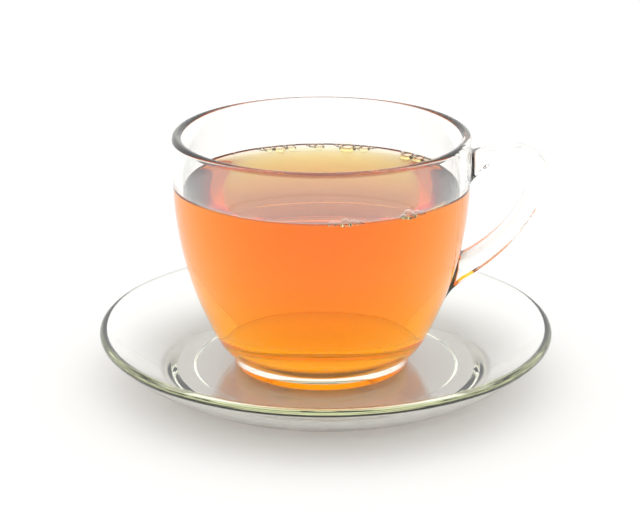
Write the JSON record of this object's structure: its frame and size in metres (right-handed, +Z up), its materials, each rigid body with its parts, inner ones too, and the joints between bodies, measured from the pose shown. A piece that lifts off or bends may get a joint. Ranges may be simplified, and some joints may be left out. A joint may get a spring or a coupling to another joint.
{
  "type": "glass cup of tea on a glass saucer",
  "caption": "Clear glass teacup with an ear-shaped handle, filled with orange tea and standing on a clear glass saucer.",
  "frame": {"origin": "middle of the saucer's underside, on the surface the saucer stands on", "axes": "+Z up; +X from the cup's axis out through the handle; +Y completes a right-handed frame"},
  "size_m": [0.1396, 0.1396, 0.0774],
  "materials": {
    "cup_glass": "clear pressed soda-lime glass, fire-polished",
    "saucer_glass": "clear pressed soda-lime glass, faintly green at the lip",
    "tea": "clear orange-brown brewed tea"
  },
  "bodies": {
    "root": {"cup": "cup_glass", "saucer": "saucer_glass", "tea": "tea"}
  },
  "joints": []
}
